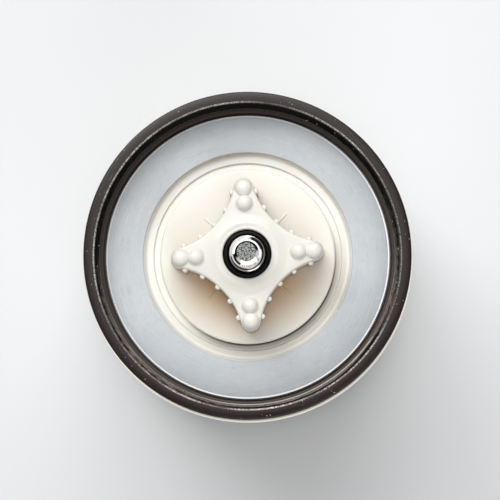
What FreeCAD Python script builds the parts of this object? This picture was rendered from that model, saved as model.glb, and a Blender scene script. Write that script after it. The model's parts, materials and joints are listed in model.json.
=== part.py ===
import FreeCAD, Part
import math
import os

from FreeCAD import Vector

# Mill head of a hand coffee grinder, in millimetres. It stands upside down on its hopper lid, with
# the jar collar and the burr adjuster upwards. Z is the shaft's axis and the floor is z = 0.

# Clearances
moulded_gap = 0.1           # between moulded parts that are pushed together
lid_slip = 0.4              # round the lid's plug in the hopper mouth
bearing_slip = 0.04         # shaft in its bushes and in the carrier's stem
thread_slip = 0.05          # nut and friction ring on the shaft's thread
axial_play = 0.15           # along the shaft, where a turning part meets a still one
burr_gap = 0.6              # between the teeth of the two burrs where they grind finest

# Hopper lid
lid_edge = 3.5              # thickness of the rim that the hopper stands on
lid_wall = 2.2
plug_depth = 8.0            # how far the lid's plug reaches into the hopper
dish_radius = 20.0          # round well for the crank's hub
dish_depth = 12.0
lid_hole_radius = 7.0
lid_rounding = 1.2

# Hopper and funnel
hopper_radius = 35.7        # inside
hopper_wall = 1.8
hopper_flange = 2.0         # thickness of the rim between lid and shell
hopper_depth = 24.5         # straight part, from the rim
funnel_drop = 40.0
throat_radius = 17.0
web_count = 4
web_thickness = 2.2
web_height = 22.0
column_radius = 8.6
column_length = 24.0
column_to_throat = 6.0      # from the column's end to the throat

# Bushes in the bearing column
bush_radius = 6.0
bush_length = 8.0
bush_flange_radius = 7.6
bush_flange = 1.2

# Outer shell
shell_wall = 2.2
waist_inset = 2.4           # how far the waist lies inside the hopper's end
waist_drop = 24.0           # from the waist to the collar
jar_end_inset = 1.4         # the same as the waist's, where the shell meets the collar

# Base plate with the burr socket
plate_face = 2.5            # thickness of the face inside the collar
plate_flange = 2.4          # thickness of the flange that the collar holds
plate_flange_reach = 1.6    # beyond the edge of the face
plate_flange_width = 4.0
socket_wall = 2.2
socket_floor = 2.0

# Burr retainer
retainer_overlap = 1.2      # beyond the outer burr
retainer_width = 4.4
retainer_height = 2.7
retainer_step = 0.6         # how much the inner land lies lower
retainer_land = 2.1         # width of the inner land, which reaches under the carrier's disc
retainer_sunk = 1.8         # below the plate's face

# Jar collar
collar_inset = 0.95         # how far it lies inside the shell's outside
collar_wall = 2.55          # down to the root of the jar's thread
collar_height = 14.0        # seen above the shell
jar_seat_depth = 8.6        # from the rim to the plate's face
ledge_width = 1.65          # inside the thread's root
ledge_gap = 0.35            # open line round the plate
ledge_thickness = 2.0
ledge_drop = 0.5            # how much the ledge lies under the plate's face
snap_lip = 0.7              # holds the plate's flange up against the ledge
snap_lip_height = 1.5
spigot_wall = 1.5
spigot_length = 9.0
collar_rounding = 0.6
rim_chamfer = 0.5

# Burrs
outer_burr_radius = 23.0
outer_burr_height = 12.9
burr_lug_count = 3
burr_lug = 1.2
burr_lug_width = 5.0
outer_burr_wall = 5.8       # from its outside in to the inner burr's widest teeth
burr_mouth_inset = 0.4      # its inside at the hopper end, within the throat
inner_burr_tip_radius = 9.6
grind_zone = 5.0            # height of the fine teeth
crack_zone = 12.0           # height of the coarse teeth
coarse_teeth = 9
fine_teeth = 36
coarse_tooth_depth = 2.2
fine_tooth_depth = 0.8
coarse_land = 0.25          # of a tooth's pitch that is flat crest
tooth_rise = 0.2            # of a tooth's pitch from root to crest
coarse_twist = 50.0         # degrees over the coarse teeth
fine_twist = 8.0            # degrees over the fine teeth
tip_tooth_share = 0.6       # coarse teeth are that much shallower at the cone's tip

# Burr carrier
carrier_gap = 1.65          # from its disc out to the retainer's step
carrier_disc = 1.6
carrier_rise = 1.2          # its face above the plate's face
stem_radius = 6.5
stem_length = 15.0
ridge_count = 12
ridge_height = 0.3
ridge_width = 0.8
ridge_inner = 7.6
ridge_outer = 13.4

# Drive shaft
shaft_radius = 4.0
shaft_end_rise = 11.0       # threaded end above the collar's rim
shaft_chamfer = 0.9
end_recess_radius = 2.7
end_recess = 0.5
drive_hex = 6.8             # across flats
drive_hex_length = 8.0
stud_radius = 2.5
stud_length = 5.5
stud_chamfer = 0.5
stud_to_floor = 2.0
clip_groove = 0.9           # depth of the groove
clip_thickness = 0.9
clip_radius = 6.6
clip_mouth = 4.6
clip_relief_radius = 1.3
washer_inset = 0.4          # how much smaller the washers are than the bushes' flanges
washer_thickness = 0.8
pin_radius = 1.5
pin_inset = 0.3             # its ends inside the carrier's stem
pin_slip = 0.05
pin_room = 0.4              # left over at both ends of the carrier's travel

# Lift spring
wire_radius = 0.4
spring_slip = 0.9           # between the shaft and the wire
spring_turns = 4.5
spring_seat_thickness = 0.6
spring_seat_inset = 0.2     # its rim inside the carrier's stem

# Adjuster
thread_pitch = 1.25
turns_finer = 0.25          # of the knob, from where it stands
turns_coarser = 1.0
knob_height = 11.6          # its arms
arm_reach = 17.2            # from the axis to the tips
tip_rounding = 2.2
side_depth_radius = 9.7     # of the concave sides, where they come nearest the axis
hub_rise = 0.6
hub_radius = 8.3
hub_slope = 0.6             # how far its sloping edge reaches inwards
hub_rounding = 0.4
knob_edge = 0.5
knob_wall = 1.7
knob_turned = 3.2           # degrees, as it was left
side_rib_radius = 0.62
side_rib_proud = 0.2        # how far its axis stands off the side
side_rib_count = 5
side_rib_margin = 4.6       # degrees of a concave side from its end to the first rib
bump_radius = 1.85
bump_place = 11.6           # from the axis
tip_dome_rise = 1.4         # of the tips' domes above the arms
boss_radius = 9.3           # round the nut, inside the cored knob
nub_radius = 0.7            # click nubs on the boss
nub_place = 8.4
nub_height = 0.35
nut_across = 13.0
nut_height = 6.5
ring_wire_radius = 0.72
ring_sunk = 0.5             # its centre under the hub's face


# Heights that follow from the sizes above
z_rim = lid_edge
z_shell = z_rim + hopper_flange
z_funnel = z_rim + hopper_depth
z_throat = z_funnel + funnel_drop
z_column_end = z_throat - column_to_throat
z_column = z_column_end - column_length
z_socket = z_throat + socket_floor
z_burr_top = z_socket + outer_burr_height
z_retainer = z_burr_top + retainer_height
z_plate = z_retainer + retainer_sunk
z_collar_rim = z_plate + jar_seat_depth
z_shell_end = z_collar_rim - collar_height
z_waist = z_shell_end - waist_drop
z_ledge = z_plate - ledge_drop
z_flange = z_ledge - ledge_thickness
z_disc = z_plate + carrier_rise
z_disc_under = z_disc - carrier_disc
z_stem = z_disc_under - stem_length
z_knob = z_disc + ridge_height + axial_play + nub_height
z_arms = z_knob + knob_height
z_hub = z_arms + hub_rise
z_shaft_end = z_collar_rim + shaft_end_rise
z_spring_washer = z_column_end + bush_flange + axial_play
z_spring = z_spring_washer + washer_thickness
z_spring_seat = z_stem - spring_seat_thickness
z_clip_washer = z_column - bush_flange - axial_play - washer_thickness
z_clip = z_clip_washer - clip_thickness
z_hex = stud_to_floor + stud_length
feed_finer = thread_pitch * turns_finer
feed_coarser = thread_pitch * turns_coarser
z_pin = z_stem + feed_coarser + pin_room + pin_radius

# Radii that follow
bowl_radius = hopper_radius + hopper_wall
shell_radius = bowl_radius + moulded_gap + shell_wall
waist_radius = shell_radius - waist_inset
shell_end_radius = shell_radius - jar_end_inset
collar_radius = shell_end_radius - collar_inset
thread_root_radius = collar_radius - collar_wall
ledge_radius = thread_root_radius - ledge_width
plate_radius = ledge_radius - ledge_gap
plate_flange_radius = plate_radius + plate_flange_reach
retainer_radius = outer_burr_radius + retainer_overlap
retainer_bore = retainer_radius - retainer_width
retainer_land_radius = retainer_bore + retainer_land
carrier_radius = retainer_land_radius - carrier_gap
inner_burr_radius = outer_burr_radius - outer_burr_wall
burr_mouth_radius = throat_radius - burr_mouth_inset
inner_burr_bore = stem_radius + moulded_gap
stem_bore = shaft_radius + bearing_slip
spring_radius = shaft_radius + spring_slip + wire_radius
washer_radius = bush_flange_radius - washer_inset
nut_bore = shaft_radius + thread_slip


def at(radius, height, angle=0.0):
    """Point at a radius and height, turned by an angle in degrees about the axis."""
    turn = math.radians(angle)
    return Vector(radius * math.cos(turn), radius * math.sin(turn), height)


def joined(points_and_arcs):
    """Closed wire through points; a pair of points is an arc through the first to the second."""
    start = points_and_arcs[0]
    here = start
    edges = []
    for step in points_and_arcs[1:] + [start]:
        if isinstance(step, tuple):
            edges.append(Part.Arc(here, step[0], step[1]).toShape())
            here = step[1]
        elif (step - here).Length > 1e-7:
            edges.append(Part.makeLine(here, step))
            here = step
    return Part.Wire(edges)


def rounded(corners):
    """Closed wire in the XZ plane; a corner's third number is the radius that rounds it."""
    steps = []
    for index, corner in enumerate(corners):
        here = at(corner[0], corner[1])
        if len(corner) == 2:
            steps.append(here)
            continue
        before = at(*corners[index - 1][:2]) - here
        after = at(*corners[(index + 1) % len(corners)][:2]) - here
        before.normalize()
        after.normalize()
        half = before.getAngle(after) / 2
        reach = corner[2] / math.tan(half)
        bisector = (before + after).normalize()
        middle = here + bisector * (corner[2] / math.sin(half) - corner[2])
        steps.append(here + before * reach)
        steps.append((middle, here + after * reach))
    return joined(steps)


def turned(corners):
    """Solid of revolution about the axis from corners (radius, height[, rounding])."""
    face = Part.Face(rounded(corners))
    return face.revolve(Vector(0, 0, 0), Vector(0, 0, 1), 360)


def ring(inner, outer, low, high):
    return turned([(inner, low), (outer, low), (outer, high), (inner, high)])


def rod(radius, low, high):
    return Part.makeCylinder(radius, high - low, Vector(0, 0, low))


def spun(shape, angle):
    """Copy of a shape turned about the axis by an angle in degrees."""
    copy = shape.copy()
    copy.rotate(Vector(0, 0, 0), Vector(0, 0, 1), angle)
    return copy


def around(shape, count, first=0.0):
    return [spun(shape, first + 360.0 * index / count) for index in range(count)]


def hexagon(across, low, high, turn=0.0):
    corners = [at(across / math.sqrt(3), low, turn + 60 * side) for side in range(6)]
    face = Part.Face(Part.makePolygon(corners + corners[:1]))
    return face.extrude(Vector(0, 0, high - low))


def write(name, shape):
    shape = shape.removeSplitter()
    solids = shape.Solids
    if len(solids) == 1:
        shape = solids[0]
    print(name, "valid" if shape.isValid() else "NOT VALID", len(solids), round(shape.Volume, 1))
    shape.exportStep(os.path.join("parts", name + ".step"))


# Hopper lid
def hopper_lid():
    plug = hopper_radius - lid_slip
    foot = dish_radius + lid_wall
    well_top = dish_depth + lid_wall
    return turned([
        (dish_radius, 0, lid_rounding),
        (shell_radius, 0, lid_rounding),
        (shell_radius, lid_edge),
        (plug, lid_edge),
        (plug, lid_edge + plug_depth, 0.8),
        (plug - lid_wall, lid_edge + plug_depth),
        (plug - lid_wall, lid_wall),
        (foot, lid_wall),
        (foot, well_top, 2.0),
        (lid_hole_radius, well_top),
        (lid_hole_radius, dish_depth),
        (dish_radius, dish_depth, 1.5),
    ])


# Hopper with funnel, webs and bearing column
def hopper_funnel():
    throat = throat_radius + hopper_wall
    bowl = turned([
        (hopper_radius, z_rim, 0.5),
        (shell_radius, z_rim, 0.5),
        (shell_radius, z_shell),
        (bowl_radius, z_shell),
        (bowl_radius, z_funnel, 6.0),
        (throat, z_throat),
        (throat_radius, z_throat),
        (hopper_radius, z_funnel, 5.0),
    ])
    inside = turned([
        (0, z_rim),
        (hopper_radius + hopper_wall / 2, z_rim),
        (hopper_radius + hopper_wall / 2, z_funnel, 5.0),
        (throat_radius + hopper_wall / 2, z_throat),
        (0, z_throat),
    ])
    web_low = z_column_end - web_height
    web = Part.makeBox(hopper_radius + hopper_wall, web_thickness, web_height,
                       Vector(0, -web_thickness / 2, web_low))
    webs = [piece.common(inside) for piece in around(web, web_count, 90)]
    column = rod(column_radius, z_column, z_column_end)
    solid = bowl.fuse([column] + webs)
    return solid.cut(rod(bush_radius + moulded_gap / 2, z_column - 1, z_column_end + 1))


# Shaft bushes
def shaft_bush(z_face, direction):
    """Flanged bush; its flange lies outside z_face and its sleeve runs back into the column."""
    bore = shaft_radius + bearing_slip
    sleeve_end = z_face - direction * bush_length
    flange_end = z_face + direction * bush_flange
    sleeve = ring(bore, bush_radius, min(z_face, sleeve_end), max(z_face, sleeve_end))
    flange = ring(bore, bush_flange_radius, min(z_face, flange_end), max(z_face, flange_end))
    return sleeve.fuse(flange)


# Cream outer shell with its gentle waist
def bulge(radius_1, height_1, radius_2, height_2):
    """Two arcs, upright at both ends, from the first radius and height to the second."""
    steps = []
    middle_radius = (radius_1 + radius_2) / 2
    middle_height = (height_1 + height_2) / 2
    run = abs(middle_height - height_1)
    rise = abs(middle_radius - radius_1)
    arc_radius = (run ** 2 + rise ** 2) / (2 * rise)
    sag = arc_radius - math.sqrt(arc_radius ** 2 - (run / 2) ** 2)
    inward = math.copysign(sag, radius_2 - radius_1)
    steps.append((at(radius_1 + inward, (height_1 + middle_height) / 2), at(middle_radius, middle_height)))
    steps.append((at(radius_2 - inward, (middle_height + height_2) / 2), at(radius_2, height_2)))
    return steps


def flare(radius_1, height_1, radius_2, height_2):
    """One arc, upright at its first end."""
    run = height_2 - height_1
    rise = abs(radius_2 - radius_1)
    arc_radius = (run ** 2 + rise ** 2) / (2 * rise)
    sag = arc_radius - math.sqrt(arc_radius ** 2 - (run / 2) ** 2)
    outward = math.copysign(sag, radius_2 - radius_1)
    return [(at(radius_1 + outward, (height_1 + height_2) / 2), at(radius_2, height_2))]


def outer_shell():
    mouth = shell_radius - shell_wall
    seat = shell_end_radius - shell_wall
    waist = waist_radius - shell_wall
    z_seat = z_shell_end - spigot_length
    outside = [at(shell_radius, z_shell), at(shell_radius, z_funnel)]
    outside += bulge(shell_radius, z_funnel, waist_radius, z_waist)
    outside += flare(waist_radius, z_waist, shell_end_radius, z_shell_end)
    inside = [at(seat, z_shell_end), at(seat, z_seat), at(waist, z_seat), at(waist, z_waist)]
    inside += bulge(waist, z_waist, mouth, z_funnel)
    inside += [at(mouth, z_shell)]
    face = Part.Face(joined(outside + inside))
    return face.revolve(Vector(0, 0, 0), Vector(0, 0, 1), 360)


# Base plate: the hopper's translucent end, with the socket for the outer burr
def burr_lugs(gap):
    """Lugs on the outer burr's wall, or with a gap the slots that take them."""
    low = z_socket - gap
    lug = Part.makeBox(burr_lug + gap + 1, burr_lug_width + 2 * gap, z_burr_top - z_socket + gap,
                       Vector(outer_burr_radius - 1, -burr_lug_width / 2 - gap, low))
    return around(lug, burr_lug_count, 90)


def base_plate():
    socket = outer_burr_radius + moulded_gap / 2
    well = retainer_radius + moulded_gap / 2
    socket_outer = outer_burr_radius + burr_lug + moulded_gap + socket_wall
    under = z_plate - plate_face
    rim_inner = plate_flange_radius - plate_flange_width
    solid = turned([
        (plate_radius, z_plate, 0.4),
        (well, z_plate, 0.3),
        (well, z_burr_top),
        (socket, z_burr_top),
        (socket, z_socket),
        (throat_radius, z_socket),
        (throat_radius, z_throat),
        (socket_outer, z_throat),
        (socket_outer, under),
        (rim_inner, under),
        (rim_inner, z_flange - plate_flange),
        (plate_flange_radius, z_flange - plate_flange),
        (plate_flange_radius, z_flange),
        (plate_radius, z_flange),
    ])
    return solid.cut(burr_lugs(moulded_gap / 2))


# Cream ring that holds the outer burr in its socket
def burr_retainer():
    return turned([
        (retainer_bore, z_burr_top),
        (retainer_radius, z_burr_top),
        (retainer_radius, z_retainer, 0.3),
        (retainer_land_radius, z_retainer, 0.2),
        (retainer_land_radius, z_retainer - retainer_step, 0.2),
        (retainer_bore, z_retainer - retainer_step, 0.3),
    ])


# Dark collar for the jar, with a ledge that holds the base plate
def jar_collar():
    spigot = shell_end_radius - shell_wall - moulded_gap
    spigot_inner = spigot - spigot_wall
    groove = plate_flange_radius + moulded_gap
    z_groove = z_flange - plate_flange - moulded_gap
    lip = groove - snap_lip
    z_lip = z_groove - snap_lip_height
    return turned([
        (collar_radius, z_shell_end),
        (collar_radius, z_collar_rim, collar_rounding),
        (thread_root_radius + rim_chamfer, z_collar_rim),
        (thread_root_radius, z_collar_rim - rim_chamfer),
        (thread_root_radius, z_ledge),
        (ledge_radius, z_ledge, 0.3),
        (ledge_radius, z_flange),
        (groove, z_flange),
        (groove, z_groove),
        (lip, z_groove),
        (lip, z_lip, 0.5),
        (spigot_inner, z_lip - 1.0),
        (spigot_inner, z_shell_end - spigot_length + moulded_gap),
        (spigot, z_shell_end - spigot_length + moulded_gap, 0.4),
        (spigot, z_shell_end),
    ])


# Burr teeth
def tooth_ring(height, crest, root, count, land, turn):
    """Closed ring of saw teeth: a crest of some width, then a slope down to the root."""
    pitch = 360.0 / count
    points = []
    for tooth in range(count):
        angle = turn + tooth * pitch
        points.append(at(crest, height, angle))
        if land:
            points.append(at(crest, height, angle + land * pitch))
        points.append(at(root, height, angle + (land + tooth_rise) * pitch))
    return Part.makePolygon(points + points[:1])


def toothed(levels, count, land):
    """Solid through tooth rings at levels of (height, crest, root, turn)."""
    rings = [tooth_ring(height, crest, root, count, land, turn) for height, crest, root, turn in levels]
    return Part.makeLoft(rings, True, True)


def steps_between(first, last, count):
    """Evenly spaced levels from the first (height, crest, root, turn) to the last."""
    levels = []
    for step in range(count + 1):
        share = step / count
        levels.append([a + (b - a) * share for a, b in zip(first, last)])
    return levels


def cone_radius(height):
    """Inner burr's radius over its teeth's crests."""
    share = (height - (z_burr_top - grind_zone - crack_zone)) / (grind_zone + crack_zone)
    return inner_burr_tip_radius + (inner_burr_radius - inner_burr_tip_radius) * share


def inner_burr():
    z_fine = z_burr_top - grind_zone
    z_tip = z_fine - crack_zone
    neck = cone_radius(z_fine)
    coarse = toothed(steps_between(
        (z_tip, inner_burr_tip_radius, inner_burr_tip_radius - tip_tooth_share * coarse_tooth_depth, 0),
        (z_fine, neck, neck - coarse_tooth_depth, coarse_twist), 6), coarse_teeth, coarse_land)
    fine = toothed(steps_between(
        (z_fine, neck, neck - fine_tooth_depth, 0),
        (z_burr_top, inner_burr_radius, inner_burr_radius - fine_tooth_depth, fine_twist), 1), fine_teeth, 0)
    skirt = turned([
        (0, z_burr_top),
        (inner_burr_radius - fine_tooth_depth, z_burr_top),
        (inner_burr_radius - fine_tooth_depth, z_disc_under),
        (0, z_disc_under),
    ])
    solid = skirt.fuse([fine, coarse])
    return solid.cut(rod(inner_burr_bore, z_tip - 1, z_disc_under + 1))


def outer_burr():
    z_fine = z_burr_top - grind_zone
    neck = cone_radius(z_fine) + burr_gap
    top = inner_burr_radius + burr_gap
    over = 0.5
    slope = (top - neck) / grind_zone
    body = ring(neck - 1, outer_burr_radius, z_socket, z_burr_top)
    lug_ring = ring(outer_burr_radius - 1, outer_burr_radius + burr_lug, z_socket, z_burr_top)
    body = body.fuse([lug.common(lug_ring) for lug in burr_lugs(0)])
    fine = toothed([
        (z_fine, neck, neck + fine_tooth_depth, 0),
        (z_burr_top + over, top + slope * over, top + slope * over + fine_tooth_depth, -fine_twist),
    ], fine_teeth, 0)
    coarse = toothed(steps_between(
        (z_socket - over, burr_mouth_radius, burr_mouth_radius + coarse_tooth_depth, 0),
        (z_fine, neck, neck + fine_tooth_depth, coarse_twist / 2), 3), coarse_teeth, coarse_land)
    return body.cut([fine, coarse])


# Disc and stem that carry the inner burr
def burr_carrier():
    solid = turned([
        (stem_bore, z_stem),
        (stem_radius, z_stem, 0.4),
        (stem_radius, z_disc_under),
        (carrier_radius, z_disc_under, 0.3),
        (carrier_radius, z_disc, 0.5),
        (stem_bore, z_disc),
    ])
    ridge = Part.makeCylinder(ridge_width / 2, ridge_outer - ridge_inner,
                              Vector(ridge_inner, 0, z_disc), Vector(1, 0, 0))
    top_only = rod(carrier_radius, z_disc - 0.2, z_disc + ridge_height)
    ridges = [piece.common(top_only) for piece in around(ridge, ridge_count, knob_turned + 180.0 / ridge_count)]
    slot_width = 2 * (pin_radius + pin_slip)
    slot_top = z_pin + pin_radius + feed_finer + pin_room
    slot = Part.makeBox(4 * stem_radius, slot_width, slot_top - z_stem + 1,
                        Vector(-2 * stem_radius, -slot_width / 2, z_stem - 1))
    return solid.fuse(ridges).cut(slot)


# Shaft with crank stud, hexagon, clip groove, pin hole and sawn end
def drive_shaft():
    stud = turned([
        (0, stud_to_floor),
        (stud_radius - stud_chamfer, stud_to_floor),
        (stud_radius, stud_to_floor + stud_chamfer),
        (stud_radius, z_hex),
        (0, z_hex),
    ])
    hexed = hexagon(drive_hex, z_hex, z_hex + drive_hex_length)
    main = turned([
        (0, z_hex + drive_hex_length),
        (shaft_radius, z_hex + drive_hex_length, 0.4),
        (shaft_radius, z_clip),
        (shaft_radius - clip_groove, z_clip),
        (shaft_radius - clip_groove, z_clip + clip_thickness),
        (shaft_radius, z_clip + clip_thickness),
        (shaft_radius, z_shaft_end - shaft_chamfer),
        (shaft_radius - shaft_chamfer, z_shaft_end),
        (end_recess_radius, z_shaft_end),
        (end_recess_radius - end_recess / 2, z_shaft_end - end_recess),
        (0, z_shaft_end - end_recess),
    ])
    return main.fuse([stud, hexed]).cut(pin_rod(shaft_radius * 3))


def pin_rod(length):
    return Part.makeCylinder(pin_radius, length, Vector(-length / 2, 0, z_pin), Vector(1, 0, 0))


# Clip with three fingers in the shaft's groove
def retaining_clip():
    groove = shaft_radius - clip_groove
    disc = ring(groove, clip_radius, z_clip, z_clip + clip_thickness)
    mouth = Part.makeBox(2 * clip_radius, clip_mouth, clip_thickness, Vector(0, -clip_mouth / 2, z_clip))
    relief = Part.makeCylinder(clip_relief_radius, clip_thickness, Vector(groove, 0, z_clip))
    reliefs = [spun(relief, 110), spun(relief, 250)]
    return disc.cut([mouth] + reliefs)


# Compression spring as one unbroken coil of quarter turns, each of two arcs that meet smoothly
def coil_point(share, low, high):
    return at(spring_radius, low + (high - low) * share, 360 * spring_turns * share)


def coil_direction(share, low, high):
    turn = 2 * math.pi * spring_turns * share
    speed = 2 * math.pi * spring_turns * spring_radius
    return Vector(-speed * math.sin(turn), speed * math.cos(turn), high - low).normalize()


def tangent_arc(start, corner, end):
    """Arc that touches the lines from start to corner and from corner to end."""
    chord_middle = (start + end) * 0.5
    half_chord = (end - start).Length / 2
    to_corner = corner - chord_middle
    half_turn = math.atan2(to_corner.Length, half_chord)
    sagitta = half_chord * math.tan(half_turn / 2)
    return Part.Arc(start, chord_middle + to_corner.normalize() * sagitta, end).toShape()


def biarc(start, start_direction, end, end_direction):
    span = end - start
    both = start_direction + end_direction
    spread = 2 * (1 - start_direction.dot(end_direction))
    along = span.dot(both)
    reach = (math.sqrt(along ** 2 + spread * span.dot(span)) - along) / spread
    corner_1 = start + start_direction * reach
    corner_2 = end - end_direction * reach
    meeting = (corner_1 + corner_2) * 0.5
    return [tangent_arc(start, corner_1, meeting), tangent_arc(meeting, corner_2, end)]


def lift_spring():
    low = z_spring + wire_radius
    high = z_spring_seat - wire_radius
    quarters = round(4 * spring_turns)
    edges = []
    for quarter in range(quarters):
        first = quarter / quarters
        last = (quarter + 1) / quarters
        edges += biarc(coil_point(first, low, high), coil_direction(first, low, high),
                       coil_point(last, low, high), coil_direction(last, low, high))
    path = Part.Wire(edges)
    section = Part.Wire(Part.makeCircle(wire_radius, coil_point(0, low, high), coil_direction(0, low, high)))
    samples = [edge.valueAt(edge.FirstParameter + (edge.LastParameter - edge.FirstParameter) * share / 4)
               for edge in edges for share in range(4)]
    per_turn = round(len(samples) / spring_turns)
    gaps = [(a - b).Length - 2 * wire_radius for index, a in enumerate(samples)
            for b in samples[index + per_turn // 2:]]
    print("least gap between the spring's turns", round(min(gaps), 2))
    return path.makePipeShell([section], True, False)


# Star knob
def star(reach, rounding, waist, low, high):
    """Four arms with round tips and hollow sides between them, standing from low to high, with the
    distance, radius and half sweep of a hollow side."""
    tip = reach - rounding
    part = rounding - waist
    side_centre = (part ** 2 - tip ** 2) / (-math.sqrt(2) * tip - 2 * part)
    side_radius = side_centre - waist
    steps = []
    for arm in range(4):
        angle = 90.0 * arm
        middle = at(tip, low, angle)
        before = at(side_centre, low, angle - 45)
        after = at(side_centre, low, angle + 45)
        entry = middle + (before - middle).normalize() * rounding
        leave = middle + (after - middle).normalize() * rounding
        if not steps:
            steps.append(entry)
        else:
            steps.append((at(waist, low, angle - 45), entry))
        steps.append((at(reach, low, angle), leave))
    steps.append((at(waist, low, -45), steps[0]))
    edges = []
    here = steps[0]
    for through, there in steps[1:]:
        edges.append(Part.Arc(here, through, there).toShape())
        here = there
    to_tip = at(tip, 0) - at(side_centre, 0, -45)
    half_sweep = math.degrees(to_tip.getAngle(at(side_centre, 0, 135)))
    solid = Part.Face(Part.Wire(edges)).extrude(Vector(0, 0, high - low))
    return solid, side_centre, side_radius, half_sweep


def adjuster_knob():
    solid, side_centre, side_radius, half_sweep = star(arm_reach, tip_rounding, side_depth_radius,
                                                       z_knob, z_arms)
    top_edges = [edge for edge in solid.Edges if edge.BoundBox.ZMin > z_arms - 0.01]
    solid = solid.makeFillet(knob_edge, top_edges)
    hub = turned([
        (0, z_knob),
        (hub_radius, z_knob),
        (hub_radius, z_arms),
        (hub_radius - hub_slope, z_hub, hub_rounding),
        (0, z_hub),
    ])
    extras = [hub]
    tip = arm_reach - tip_rounding
    extras += around(Part.makeSphere(bump_radius, at(bump_place, z_arms)), 4)
    extras += around(Part.makeSphere(tip_rounding, at(tip, z_arms + tip_dome_rise - tip_rounding)), 4)
    for rib in range(side_rib_count):
        lean = (half_sweep - side_rib_margin) * (2 * rib / (side_rib_count - 1) - 1)
        foot = at(side_centre, z_knob, 45) + at(side_radius - side_rib_proud, 0, 225 + lean)
        rib_rod = Part.makeCylinder(side_rib_radius, knob_height - knob_edge, foot)
        extras += around(rib_rod, 4)
    solid = solid.fuse(extras)
    core = star(arm_reach - knob_wall, tip_rounding - 0.6 * knob_wall, side_depth_radius - knob_wall,
                z_knob, z_arms - knob_wall)[0]
    solid = solid.cut(core.cut(rod(boss_radius, z_knob, z_arms)))
    solid = solid.fuse(around(Part.makeSphere(nub_radius, at(nub_place, z_knob + nub_radius - nub_height)), 4))
    ring_outer = nut_bore + 2 * ring_wire_radius
    solid = solid.cut([
        hexagon(nut_across, z_knob - 1, z_knob + nut_height),
        rod(nut_bore + 0.3, z_knob, z_hub + 1),
        rod(ring_outer, z_hub - ring_sunk - ring_wire_radius, z_hub + 1),
    ])
    return spun(solid, knob_turned)


def knob_nut():
    nut = hexagon(nut_across, z_knob, z_knob + nut_height)
    return spun(nut.cut(rod(nut_bore, z_knob - 1, z_knob + nut_height + 1)), knob_turned)


def friction_ring():
    return Part.makeTorus(nut_bore + ring_wire_radius, ring_wire_radius, Vector(0, 0, z_hub - ring_sunk))


os.makedirs("parts", exist_ok=True)
write("hopper_lid", hopper_lid())
write("hopper_funnel", hopper_funnel())
write("outer_shell", outer_shell())
write("base_plate", base_plate())
write("burr_retainer", burr_retainer())
write("jar_collar", jar_collar())
write("outer_burr", outer_burr())
write("lid_end_bush", shaft_bush(z_column, -1))
write("burr_end_bush", shaft_bush(z_column_end, 1))
write("drive_shaft", drive_shaft())
write("drive_pin", pin_rod(2 * (stem_radius - pin_inset)))
write("retaining_clip", retaining_clip())
write("clip_washer", ring(stem_bore, washer_radius, z_clip_washer, z_clip_washer + washer_thickness))
write("spring_washer", ring(stem_bore, washer_radius, z_spring_washer, z_spring))
write("spring_seat", ring(stem_bore, stem_radius - spring_seat_inset, z_spring_seat, z_stem))
write("lift_spring", lift_spring())
write("inner_burr", inner_burr())
write("burr_carrier", burr_carrier())
write("adjuster_knob", adjuster_knob())
write("knob_nut", knob_nut())
write("friction_ring", friction_ring())
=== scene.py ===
import json
import math
import bpy
from mathutils import Matrix, Vector

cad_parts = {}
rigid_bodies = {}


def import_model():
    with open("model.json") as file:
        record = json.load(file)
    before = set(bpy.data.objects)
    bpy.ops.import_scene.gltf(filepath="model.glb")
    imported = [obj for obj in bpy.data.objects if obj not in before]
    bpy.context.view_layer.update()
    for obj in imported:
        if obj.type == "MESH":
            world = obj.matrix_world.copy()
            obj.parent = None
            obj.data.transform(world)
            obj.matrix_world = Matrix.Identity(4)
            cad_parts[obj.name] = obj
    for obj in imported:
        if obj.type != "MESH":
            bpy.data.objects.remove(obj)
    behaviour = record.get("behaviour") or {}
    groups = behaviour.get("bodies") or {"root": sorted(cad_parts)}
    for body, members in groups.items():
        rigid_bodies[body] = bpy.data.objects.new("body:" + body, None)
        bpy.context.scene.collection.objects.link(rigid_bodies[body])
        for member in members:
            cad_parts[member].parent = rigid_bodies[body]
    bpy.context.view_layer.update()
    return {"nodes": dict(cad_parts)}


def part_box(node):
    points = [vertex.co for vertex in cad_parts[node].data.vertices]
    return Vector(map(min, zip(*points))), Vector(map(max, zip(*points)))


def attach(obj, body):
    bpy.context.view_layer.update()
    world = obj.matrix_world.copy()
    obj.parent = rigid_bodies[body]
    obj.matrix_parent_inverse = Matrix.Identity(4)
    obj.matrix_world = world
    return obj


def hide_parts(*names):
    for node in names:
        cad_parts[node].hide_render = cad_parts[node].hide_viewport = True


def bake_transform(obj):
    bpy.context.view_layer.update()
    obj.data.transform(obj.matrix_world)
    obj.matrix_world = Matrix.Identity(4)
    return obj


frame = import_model()

mm = 0.001
doublesWithin = 0.002 * mm
print("frame loaded:", len(frame["nodes"]), "nodes")


# a CAD node's lowest and highest corner, in mm
def place(node):
    low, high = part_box(node)
    return low / mm, high / mm


# selection and edit mode

def deselectAll():
    for obj in bpy.context.view_layer.objects:
        obj.select_set(False)


def activate(obj):
    deselectAll()
    obj.select_set(True)
    bpy.context.view_layer.objects.active = obj


def startEditing(obj):
    activate(obj)
    bpy.ops.object.mode_set(mode="EDIT")
    bpy.ops.mesh.select_mode(type="VERT")
    bpy.ops.mesh.select_all(action="SELECT")


def stopEditing():
    bpy.ops.object.mode_set(mode="OBJECT")


# vertices are picked by their place; a face or edge follows when all its corners are in
def pick(obj, test):
    bpy.ops.mesh.select_all(action="DESELECT")
    stopEditing()
    for vert in obj.data.vertices:
        vert.select = test(vert.co / mm)
    bpy.ops.object.mode_set(mode="EDIT")
    bpy.ops.mesh.select_mode(type="VERT")


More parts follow.
